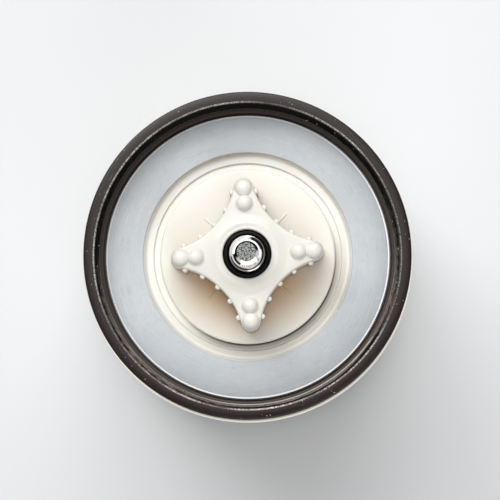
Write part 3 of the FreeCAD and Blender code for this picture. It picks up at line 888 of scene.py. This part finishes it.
# painted shade darkens the retainer's land, the crease at the disc's edge and the ring on the side away from
# the light, and its cove on the side the light comes from, where the well's wall shades it; painted light
# makes the land glow on the lit side
def makeRetainerPlastic(name):
    look = retainerLook
    inner, step, well = look["innerRadius"], look["stepRadius"], plateLook["wellRadius"]
    finish = makeCreamPlastic(name, *look["colours"], look["roughness"])
    radius = finish.measure()[0]
    side = finish.facing(look["shadeTowards"], 0.05, 0.85)
    far = finish.facing((0, 1), 0.1, 0.9)
    land = radius.below(step - 0.7, step)
    crease = radius.below(inner + 0.62, inner + 1.05)
    ring = radius.between(step, step + 0.3) * radius.below(22.8, 23.5)
    cove = radius.between(well - 0.9, well - 0.2)
    # painted shade: land, crease and ring darker away from the light, cove darker on the light's side;
    # painted light glows on the lit land
    finish.tint(land * (0.02 + side * 0.42), look["paintedShade"])
    finish.tint(crease * side * 0.9, look["crease"])
    finish.tint(ring * side * 0.5, look["ring"])
    finish.tint(cove * (0.1 + far * 0.4), look["coveShade"])
    finish.glow(land * (1 - side) * radius.between(inner, inner + 0.1), look["glow"], look["glowStrength"])
    return finish


def makeRetainer():
    look = retainerLook
    low, high = place("burr_retainer")
    inner, step, well = look["innerRadius"], look["stepRadius"], plateLook["wellRadius"]
    coveTop, land = high.z + look["cove"], high.z - look["step"]
    retainer = turnPiece("burr_retainer_ring", [
        (inner, low.z), (well, low.z), (well, coveTop), (well - look["coveEdge"], coveTop),
        (well - look["coveRadius"], high.z, look["coveRadius"]), (step, high.z, 0.2), (step, land, 0.2),
        (inner, land, 0.3),
    ], 192, 4)
    finishPiece(retainer, makeRetainerPlastic("retainer_finish"), "housing", "burr_retainer")


carrierLook = {
    "bore": 4.04,
    "stemRadius": 6.5,
    "discThickness": 1.6,
    "edge": 0.5,
    "ridgeCount": 12,
    "ridgeTurned": 18.2,  # degrees
    "ridgeRadius": 0.4,
    "ridgeHeight": 0.3,
    "ridgeWorn": 0.1,
    "ridgeFrom": 7.6,
    "ridgeTo": 13.4,
    "ridgeRounding": 0.25,  # of its outer end
    "slotWidth": 3.1,
    "slotRoom": 0.71,  # above the pin
    "colours": (colour(252, 248, 238), colour(250, 244, 230)),
    "roughness": 0.36,
    # painted warm shade round the knob
    "stainAndShade": colour(231, 187, 130),
    "shadeStrength": 0.85,
    "shadeFrom": (8.0, 21.5),
}


# painted shade, warm, on the disc round the knob, most on the side away from the light
def makeDiscPlastic(name):
    look = carrierLook
    finish = makeCreamPlastic(name, *look["colours"], look["roughness"], 0.4, 0.8, 0.25)
    radius = finish.measure()[0]
    # painted shade round the knob, strongest on the side away from the light
    nearness = radius.below(*look["shadeFrom"]) * (0.1 + finish.facing((0, -1), -0.6, 0.7) * 0.9)
    finish.tint(nearness * (0.75 + finish.clouds * 0.5) * look["shadeStrength"], look["stainAndShade"])
    return finish


def makeCarrier():
    look = carrierLook
    low, high = place("burr_carrier")
    bore, stem = look["bore"], look["stemRadius"]
    face = high.z - look["ridgeHeight"]
    under = face - look["discThickness"]
    carrier = turnPiece("burr_carrier_disc", [
        (bore, low.z), (stem, low.z, 0.4), (stem, under), (high.x, under, 0.3),
        (high.x, face, look["edge"]), (bore, face),
    ], 192, 5)
    middle = (look["ridgeTo"] + look["ridgeFrom"]) / 2
    ridge = addBar(16, look["ridgeRadius"], look["ridgeTo"] - look["ridgeFrom"],
                   (middle, 0, high.z - look["ridgeRadius"] - look["ridgeWorn"]))
    bevelWhere(ridge, lambda at: at.x > look["ridgeTo"] - 0.01, look["ridgeRounding"], 3)
    combine(carrier, copiesAround(ridge, look["ridgeCount"], look["ridgeTurned"]))
    slotTop = place("drive_pin")[1].z + look["slotRoom"]
    slotHeight = 10
    slot = addBlock((4 * stem, look["slotWidth"], slotHeight), (0, 0, slotTop - slotHeight / 2))
    combine(carrier, [slot], "DIFFERENCE")
    cleanUp(carrier)
    finishPiece(carrier, makeDiscPlastic("carrier_finish"), "burr", "burr_carrier")


knobLook = {
    "turned": 3.2,  # degrees, as it was left
    "armReach": 17.2,
    "tipRadius": 2.2,
    "sideDepth": 9.7,  # how near the hollow sides come to the axis
    "edge": 0.5,
    "foot": 1.03,  # how much wider it is at its foot
    "hubRadius": 8.3,
    "hubSlope": 0.6,
    "hubRise": 0.6,
    "hubRounding": 1.6,
    "hubDepth": 3.0,  # how far the hub starts above the knob's foot
    "bumpRadius": 1.85,
    "bumpAt": 11.6,
    "bumpSunk": 0.3,  # how far its middle lies under the arm's face
    "bumpFillet": 0.5,
    "tipRise": 1.4,
    "tipWorn": 0.15,
    "ribRadius": 0.62,
    "ribProud": 0.2,
    "ribCount": 5,
    "ribMargin": 4.6,  # degrees from the hollow side's end to its first rib
    "ribRounding": 0.4,
    "bore": 4.35,
    "nutAcross": 13.0,
    "nutHeight": 6.5,
    "wall": 1.7,
    "bossRadius": 9.3,
    "lip": 0.1,  # raised bead round the rubber ring
    "lipFrom": 0.45,  # beyond the ring's pocket
    "lipTo": 0.75,
    "colours": (colour(235, 233, 225), colour(231, 228, 217)),
    "roughness": 0.25,
    "paintedHighlight": colour(250, 248, 241),
    "coffee": colour(134, 92, 54),
}


# painted shade darkens its sides towards the foot, and a painted highlight brightens the tops of its arms
def makeKnobPlastic(name):
    look = knobLook
    finish = makeCreamPlastic(name, *look["colours"], look["roughness"], 0.35, 0.9, 0.3)
    low, high = place("adjuster_knob")
    radius, height = finish.measure()
    # painted highlight on the tops of the arms, bumps and tips; painted shade lower on the sides
    paintedHighlight = height.between(high.z - 1.1, high.z - 0.4) * radius.between(8.6, 9.4)
    finish.tint(paintedHighlight * 0.3, look["paintedHighlight"])
    finish.tint(height.below(low.z + 3, high.z - 2) * 0.85, look["coffee"])
    return finish


# the star's outline is spun out of one vertex: a tip, a hollow side, four times
def makeStar(name, reach, tipRadius, sideDepth, low, high):
    tip = reach - tipRadius
    inward = tipRadius - sideDepth
    sideCentre = (inward ** 2 - tip ** 2) / (-math.sqrt(2) * tip - 2 * inward)
    centreOfTip = Vector((tip, 0))
    centreOfSide = Matrix.Rotation(math.radians(-45), 2) @ Vector((sideCentre, 0))
    first = centreOfTip + (centreOfSide - centreOfTip).normalized() * tipRadius
    outward = (first - centreOfTip).angle(Vector((1, 0)))
    toTip = (centreOfTip - centreOfSide).angle(centreOfSide)
    halfSweep = math.pi - toTip
    star = addPrimitive(bpy.ops.mesh.primitive_plane_add, size=1.0)
    star.name = name
    startEditing(star)
    bpy.ops.mesh.merge(type="CENTER")
    bpy.ops.transform.translate(value=(first.x * mm, first.y * mm, low * mm))
    for arm in range(4):
        turned = Matrix.Rotation(math.radians(90 * arm), 3, "Z")
        centre = turned @ Vector((*centreOfTip, low)) * mm
        bpy.ops.mesh.spin(steps=14, angle=-2 * outward, center=centre, axis=(0, 0, 1))
        centre = turned @ Matrix.Rotation(math.radians(90), 3, "Z") @ Vector((*centreOfSide, low)) * mm
        bpy.ops.mesh.spin(steps=20, angle=2 * halfSweep, center=centre, axis=(0, 0, 1))
    bpy.ops.mesh.select_all(action="SELECT")
    bpy.ops.mesh.remove_doubles(threshold=0.01 * mm)
    bpy.ops.mesh.edge_face_add()
    bpy.ops.mesh.extrude_region_move(TRANSFORM_OT_translate={"value": (0, 0, (high - low) * mm)})
    bpy.ops.mesh.select_all(action="SELECT")
    bpy.ops.mesh.normals_make_consistent(inside=False)
    stopEditing()
    return star, centreOfSide, (first - centreOfSide).length, halfSweep


# a bump that grows out of the arm's face with a fillet round its foot
def addBump(look, arms):
    radius, sunk, fillet = look["bumpRadius"], look["bumpSunk"], look["bumpFillet"]
    reach = math.sqrt((radius + fillet) ** 2 - (fillet + sunk) ** 2)
    lean = math.atan2(fillet + sunk, reach)
    footSteps = 6
    crownSteps = 12
    outline = [(reach, arms - 0.6)]
    for step in range(footSteps + 1):
        turn = (math.pi / 2 - lean) * step / footSteps
        outline.append((reach - fillet * math.sin(turn), arms + fillet - fillet * math.cos(turn)))
    for step in range(1, crownSteps):
        turn = lean + (math.pi / 2 - lean) * step / crownSteps
        outline.append((radius * math.cos(turn), arms - sunk + radius * math.sin(turn)))
    bump = turnPiece("bump", outline, 40, solid=True)
    bump.data.transform(Matrix.Translation((look["bumpAt"] * mm, 0, 0)))
    return bump


def makeKnob():
    look = knobLook
    high = place("adjuster_knob")[1]
    bottom = place("knob_nut")[0].z
    ringLow, ringHigh = place("friction_ring")
    arms = high.z - look["tipRise"]
    hubTop = arms + look["hubRise"]
    hub, slope, wall = look["hubRadius"], look["hubSlope"], look["wall"]
    pocketRadius = ringHigh.x + 0.02
    lipTop = hubTop + look["lip"]
    inside = 3.0  # anywhere within the bore
    knob, sideCentre, sideRadius, halfSweep = makeStar("star_knob", look["armReach"], look["tipRadius"],
                                                       look["sideDepth"], bottom, arms)
    edit(knob, bpy.ops.transform.resize, lambda at: at.z < bottom + 0.01,
         value=(look["foot"], look["foot"], 1), center_override=(0, 0, bottom * mm))
    bevelWhere(knob, lambda at: at.z > arms - 0.01, look["edge"], 4)
    parts = [turnPiece("hub", [
        (inside, bottom + look["hubDepth"]), (hub - 0.1, bottom + look["hubDepth"]),
        (hub + slope, arms - 0.02), (hub - 2 * slope, hubTop, look["hubRounding"]),
        (pocketRadius + look["lipTo"], hubTop, 0.2), (pocketRadius + look["lipFrom"], lipTop, 0.12),
        (inside, lipTop),
    ], 96)]
    tip = look["armReach"] - look["tipRadius"]
    ball = addBall(look["tipRadius"], (tip, 0, high.z - look["tipWorn"] - look["tipRadius"]))
    parts += copiesAround(addBump(look, arms), 4) + copiesAround(ball, 4)
    for rib in range(look["ribCount"]):
        share = 2 * rib / (look["ribCount"] - 1) - 1
        lean = math.radians(135) + (halfSweep - math.radians(look["ribMargin"])) * share
        foot = sideCentre + (sideRadius - look["ribProud"]) * Vector((math.cos(lean), math.sin(lean)))
        rod = addRod(16, look["ribRadius"], bottom, arms - look["edge"], foot)
        bevelWhere(rod, lambda at: at.z > arms - 1, look["ribRounding"], 4)
        parts += copiesAround(rod, 4)
    combine(knob, parts)
    core = makeStar("core", look["armReach"] - wall, look["tipRadius"] - 0.6 * wall,
                    look["sideDepth"] - wall, bottom - 1, arms - wall)[0]
    combine(core, [addRod(64, look["bossRadius"], bottom - 2, arms)], "DIFFERENCE")
    pocket = turnPiece("pocket", [
        (0.5, ringLow.z), (pocketRadius, ringLow.z), (pocketRadius, hubTop - 0.12),
        (pocketRadius + 0.25, lipTop + 0.04), (pocketRadius + 0.25, hubTop + 2), (0.5, hubTop + 2),
    ], 96)
    nutRoom = addRod(6, look["nutAcross"] / math.sqrt(3), bottom - 1, bottom + look["nutHeight"])
    bore = addRod(64, look["bore"], bottom - 1, hubTop + 1)
    combine(knob, [core, nutRoom, bore, pocket], "DIFFERENCE")
    knob.data.transform(Matrix.Rotation(math.radians(look["turned"]), 4, "Z"))
    cleanUp(knob, 28)
    finishPiece(knob, makeKnobPlastic("knob_finish"), "adjuster", "adjuster_knob")


def makeFrictionRing():
    low, high = place("friction_ring")
    wire = (high.z - low.z) / 2
    steps = 20
    outline = []
    for step in range(steps):
        turn = 2 * math.pi * step / steps
        outline.append((high.x - wire + wire * math.cos(turn), (high.z + low.z) / 2 + wire * math.sin(turn)))
    ring = turnPiece("rubber_friction_ring", outline, 96, smoothAngle=60)
    finishPiece(ring, makeRubber("friction_ring_finish"), "adjuster", "friction_ring")


shaftLook = {
    "radius": 4.0,
    "threadDepth": 0.72,
    "threadPitch": 1.25,
    "threadTurned": 103.0,  # degrees, where a turn of the thread begins
    "threadFrom": 86.0,
    "threadWorn": 0.03,
    "endRadius": 3.2,  # flat end inside the chamfer
    "chamferSlope": 0.7,
    "recessRadius": 2.7,
    "recessFloor": 2.1,
    "recessDepth": 0.45,
    "recessShift": (-0.1, 0.3),
    # painted shade, black, in arcs where the thread's groove opens on the end: from and to, degrees; inner
    # and outer radius
    "shadeArcs": [(12, 76, 3.06, 3.84), (-179, -116, 2.62, 3.18), (-172, -84, 3.42, 3.76)],
    "hexAcross": 6.8,
    "hexTop": 15.5,
    "hexFrom": 7.5,
    "studRadius": 2.5,
    "pinRadius": 1.5,
    "clipGroove": 0.9,
    "colour": colour(236, 235, 233),
    "sawn": colour(192, 194, 191),
    "pit": colour(60, 62, 61),
    # the chamfer's colour is a painted highlight
    "chamfer": colour(248, 247, 245),
    "rust": colour(138, 112, 98),
    "shadow": colour(18, 16, 15),
    "paintedShade": colour(6, 4, 4),
    "roughness": 0.2,
}


# bright turned steel; the rough middle of its end is dull; the chamfer is painted pale as a highlight, and
# black painted shade fills the thread's grooves and arcs on its end
def makeShaftSteel(name):
    look = shaftLook
    outside, endRadius, depth = look["radius"], look["endRadius"], look["recessDepth"]
    finish = Finish(name, look["colour"])
    radius, height = finish.measure()
    angle = finish.angle()
    end = place("drive_shaft")[1].z
    under = end - height
    nearEnd = under.below(1.0, 1.2)
    floor = under.between(depth - 0.06, depth - 0.02) * nearEnd
    floor = floor * radius.below(look["recessFloor"] + 0.4, look["recessFloor"] + 0.5)
    wall = (1 - floor) * radius.below(look["recessRadius"] - 0.02, look["recessRadius"] + 0.02) * nearEnd
    farSide = finish.facing((-0.35, 1), -0.25, 0.1)
    pits = finish.noise(2900, 3.0, 0.7)
    lines = finish.marks(*steelLook["lines"])
    underChamfer = (end - (radius - endRadius) * look["chamferSlope"] - height).between(0.05, 0.14)
    threaded = radius.between(endRadius - 0.15, endRadius)
    chamfer = threaded * (1 - underChamfer)
    paintedShade = underChamfer * radius.below(outside - 0.3, outside - 0.12)
    paintedShade = paintedShade * threaded * height.between(look["threadFrom"], look["threadFrom"] + 0.5)
    for first, last, inner, outer in look["shadeArcs"]:
        paintedShade = paintedShade + angle.band(first, last, 6) * nearEnd * radius.band(inner, outer, 0.06)
    rust = angle.band(-125, -10, 20) * under.below(0.6, 0.9)
    rust = rust * radius.between(2.66, 2.78) * radius.below(3.1, 3.3) * pits.between(0.32, 0.52)
    finish.tint(floor, look["sawn"])
    finish.tint(floor * pits.between(0.40, 0.60), look["pit"])
    # painted highlight: the chamfer is pale and partly not metal
    finish.tint(chamfer, look["chamfer"])
    finish.tint(rust * 0.8, look["rust"])
    finish.tint(wall * farSide, look["shadow"])
    # painted shade, black, in the thread's groove and arcs
    finish.tint(paintedShade.math("MINIMUM", 0.98), look["paintedShade"])
    # less metal on the painted-highlight chamfer, on the near wall of the recess where this paints that wall
    # lit, and on the rust
    dull = chamfer * 0.6 + wall * (1 - farSide) * 0.5 + rust * 0.6
    finish.set(Metallic=1.0 - dull.math("MINIMUM", 1.0))
    rough = look["roughness"] + floor * 0.3 + paintedShade.math("MINIMUM", 1.0) * 0.5 + (lines - 0.5) * 0.1
    finish.set(Roughness=rough, Normal=finish.bump(pits * floor, 0.25, 0.9, finish.bump(lines, 0.004, 0.4)))
    return finish


# one pitch of the thread's flank, carried up by the Screw modifier and cut flat at both ends
def makeShaftThread(bottom, top):
    look = shaftLook
    pitch = look["threadPitch"]
    root = look["radius"] - look["threadDepth"]
    crest = look["radius"] - look["threadWorn"]
    turns = math.ceil((top - bottom) / pitch) + 4
    flank = [(root, 0), (root, 0.15), (crest, 0.48), (crest, 0.6), (root, 0.93), (root, 1.0)]
    thread = addPrimitive(bpy.ops.mesh.primitive_grid_add, x_subdivisions=len(flank) - 1, y_subdivisions=1,
                          size=1)
    edit(thread, bpy.ops.mesh.delete, lambda at: at.y > 0, type="VERT")
    turned = math.radians(look["threadTurned"])
    row = sorted(thread.data.vertices, key=lambda vert: vert.co.x)
    for vert, (radius, share) in zip(row, flank):
        height = bottom - 2 * pitch + share * pitch
        vert.co = Vector((radius * math.cos(turned), radius * math.sin(turned), height)) * mm
    addModifier(thread, "SCREW", angle=2 * math.pi, screw_offset=pitch * mm, iterations=turns, steps=48,
                render_steps=48)
    edit(thread, bpy.ops.mesh.remove_doubles, threshold=0.005 * mm)
    for height, above in ((bottom, False), (top, True)):
        edit(thread, bpy.ops.mesh.bisect, plane_co=(0, 0, height * mm), plane_no=(0, 0, 1), use_fill=True,
             clear_inner=not above, clear_outer=above, threshold=0.001 * mm)
    cleanUp(thread)
    return thread


def makeShaft():
    look = shaftLook
    low, high = place("drive_shaft")
    clipLow, clipHigh = place("retaining_clip")
    radius, stud, end = look["radius"], look["studRadius"], look["endRadius"]
    hexFrom, hexTop, threadFrom = look["hexFrom"], look["hexTop"], look["threadFrom"]
    root = radius - look["threadDepth"]
    grooved = radius - look["clipGroove"]
    shaft = turnPiece("steel_shaft", [
        (stud - 0.5, low.z), (stud, low.z + 0.5), (stud, hexFrom + 0.2),
    ], 48, solid=True)
    shank = turnPiece("shank", [
        (radius - 0.4, hexTop - 0.2), (radius - 0.4, hexTop), (radius, hexTop + 0.4),
        (radius, clipLow.z), (grooved, clipLow.z), (grooved, clipHigh.z), (radius, clipHigh.z),
        (radius, threadFrom), (root, threadFrom + look["threadDepth"]), (root, threadFrom + 2),
    ], 96, solid=True)
    hexagon = addRod(6, look["hexAcross"] / math.sqrt(3), hexFrom, hexTop, turned=30)
    thread = makeShaftThread(threadFrom + 1, high.z)
    outside = radius + 0.1
    chamferEnd = high.z - (outside - end) * look["chamferSlope"]
    chamfer = turnPiece("chamfer", [
        (end, high.z), (outside, chamferEnd), (radius + 2, chamferEnd), (radius + 2, high.z + 1),
        (end, high.z + 1),
    ], 96)
    recess = turnPiece("recess", [
        (look["recessFloor"], high.z - look["recessDepth"]), (look["recessRadius"], high.z),
        (look["recessRadius"], high.z + 1),
    ], 96, solid=True)
    edit(recess, bpy.ops.transform.translate, lambda at: at.z < high.z - 0.01,
         value=(*Vector(look["recessShift"]) * mm, 0))
    combine(thread, [chamfer, recess], "DIFFERENCE")
    combine(shaft, [hexagon, shank, thread])
    pinMiddle = sum(place("drive_pin"), Vector()) / 2
    combine(shaft, [addBar(48, look["pinRadius"] + 0.02, 4 * radius, pinMiddle)], "DIFFERENCE")
    cleanUp(shaft)
    finishPiece(shaft, makeShaftSteel("shaft_finish"), "drive", "drive_shaft")


# the spring keeps one end on its washer and the other on the burr, so it is a copy of the node's mesh, tied
# to neither body
def makeSpring():
    node = frame["nodes"]["lift_spring"]
    spring = bpy.data.objects.new("coil_spring", node.data.copy())
    bpy.context.collection.objects.link(spring)
    cleanUp(spring, 40)
    paint(spring, springSteel)
    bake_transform(spring)
    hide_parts("lift_spring")
    print(spring.name, len(spring.data.polygons), "faces")


makeShell()
makeCollar()
makeBasePlate()
makeRetainer()
makeCarrier()
makeKnob()
makeFrictionRing()
makeShaft()
makeSpring()


print("studio")

studioLook = {
    "lens": 145.4,
    "distance": 460.0,  # from the collar's rim
    "tilt": 2.75,  # degrees off the axis
    "tiltTowards": (0.2, -0.98),
    "aim": (0.606, 1.18),  # mm beside the axis, at the rim
    "floorSize": 4.0,  # metres
    "floorColour": colour(236, 237, 239),
    "floorHaze": colour(228, 229, 231),
    "worldColour": colour(251, 252, 253),
    "worldStrength": 0.28,
    "lightDistance": 1.1,
}

# where each soft box hangs: degrees round the axis and above the floor, its size in metres, its power
lightBoxes = {
    "window_light": {"around": 110.0, "above": 63.0, "width": 0.7, "height": 0.5, "power": 2.9},
    "left_light": {"around": 126.0, "above": 46.0, "width": 0.5, "height": 0.5, "power": 3.5},
    "right_light": {"around": 80.0, "above": 45.0, "width": 0.6, "height": 0.6, "power": 2.8},
    "fill_light": {"around": 290.0, "above": 50.0, "width": 0.7, "height": 0.7, "power": 2.6},
    "top_light": {"around": 95.0, "above": 81.0, "width": 0.45, "height": 0.45, "power": 0.86},
}


def aimedAlong(direction, up=Vector((0, 1, 0))):
    back = -direction.normalized()
    right = up.cross(back).normalized()
    return Matrix((right, back.cross(right), back)).transposed().to_4x4()


def makeFloor():
    look = studioLook
    floor = addPrimitive(bpy.ops.mesh.primitive_plane_add, size=look["floorSize"])
    floor.name = "floor"
    finish = Finish("floor_finish", look["floorColour"])
    finish.tint(finish.noise(3.0, 2.0).between(0.3, 0.7) * 0.15, look["floorHaze"])
    finish.set(Roughness=0.7, Specular_IOR_Level=0.2, Normal=finish.bump(finish.noise(2400, 2.0), 0.02, 0.3))
    paint(floor, finish)


def makeCamera():
    look = studioLook
    camera = bpy.data.objects.new("camera", bpy.data.cameras.new("camera"))
    bpy.context.collection.objects.link(camera)
    aim = Vector((*look["aim"], place("jar_collar")[1].z)) * mm
    tilt = math.radians(look["tilt"])
    sideways = Vector(look["tiltTowards"]).normalized() * math.sin(tilt)
    direction = Vector((sideways.x, sideways.y, math.cos(tilt)))
    spot = aim + direction * look["distance"] * mm
    camera.matrix_world = Matrix.Translation(spot) @ aimedAlong(-direction)
    camera.data.lens = look["lens"]
    camera.data.clip_start = 0.01
    bpy.context.scene.camera = camera


def makeLights():
    for name, box in lightBoxes.items():
        light = bpy.data.objects.new(name, bpy.data.lights.new(name, "AREA"))
        bpy.context.collection.objects.link(light)
        around, above = math.radians(box["around"]), math.radians(box["above"])
        flat = math.cos(above)
        towards = Vector((math.cos(around) * flat, math.sin(around) * flat, math.sin(above)))
        hung = Matrix.Translation(towards * studioLook["lightDistance"])
        light.matrix_world = hung @ aimedAlong(-towards, Vector((0, 0, 1)))
        light.data.shape = "RECTANGLE"
        light.data.size = box["width"]
        light.data.size_y = box["height"]
        light.data.energy = box["power"]
    world = bpy.data.worlds.new("studio")
    bpy.context.scene.world = world
    world.use_nodes = True
    background = world.node_tree.nodes["Background"]
    background.inputs["Color"].default_value = studioLook["worldColour"]
    background.inputs["Strength"].default_value = studioLook["worldStrength"]


makeFloor()
makeCamera()
makeLights()
bpy.context.scene.view_settings.view_transform = "Standard"
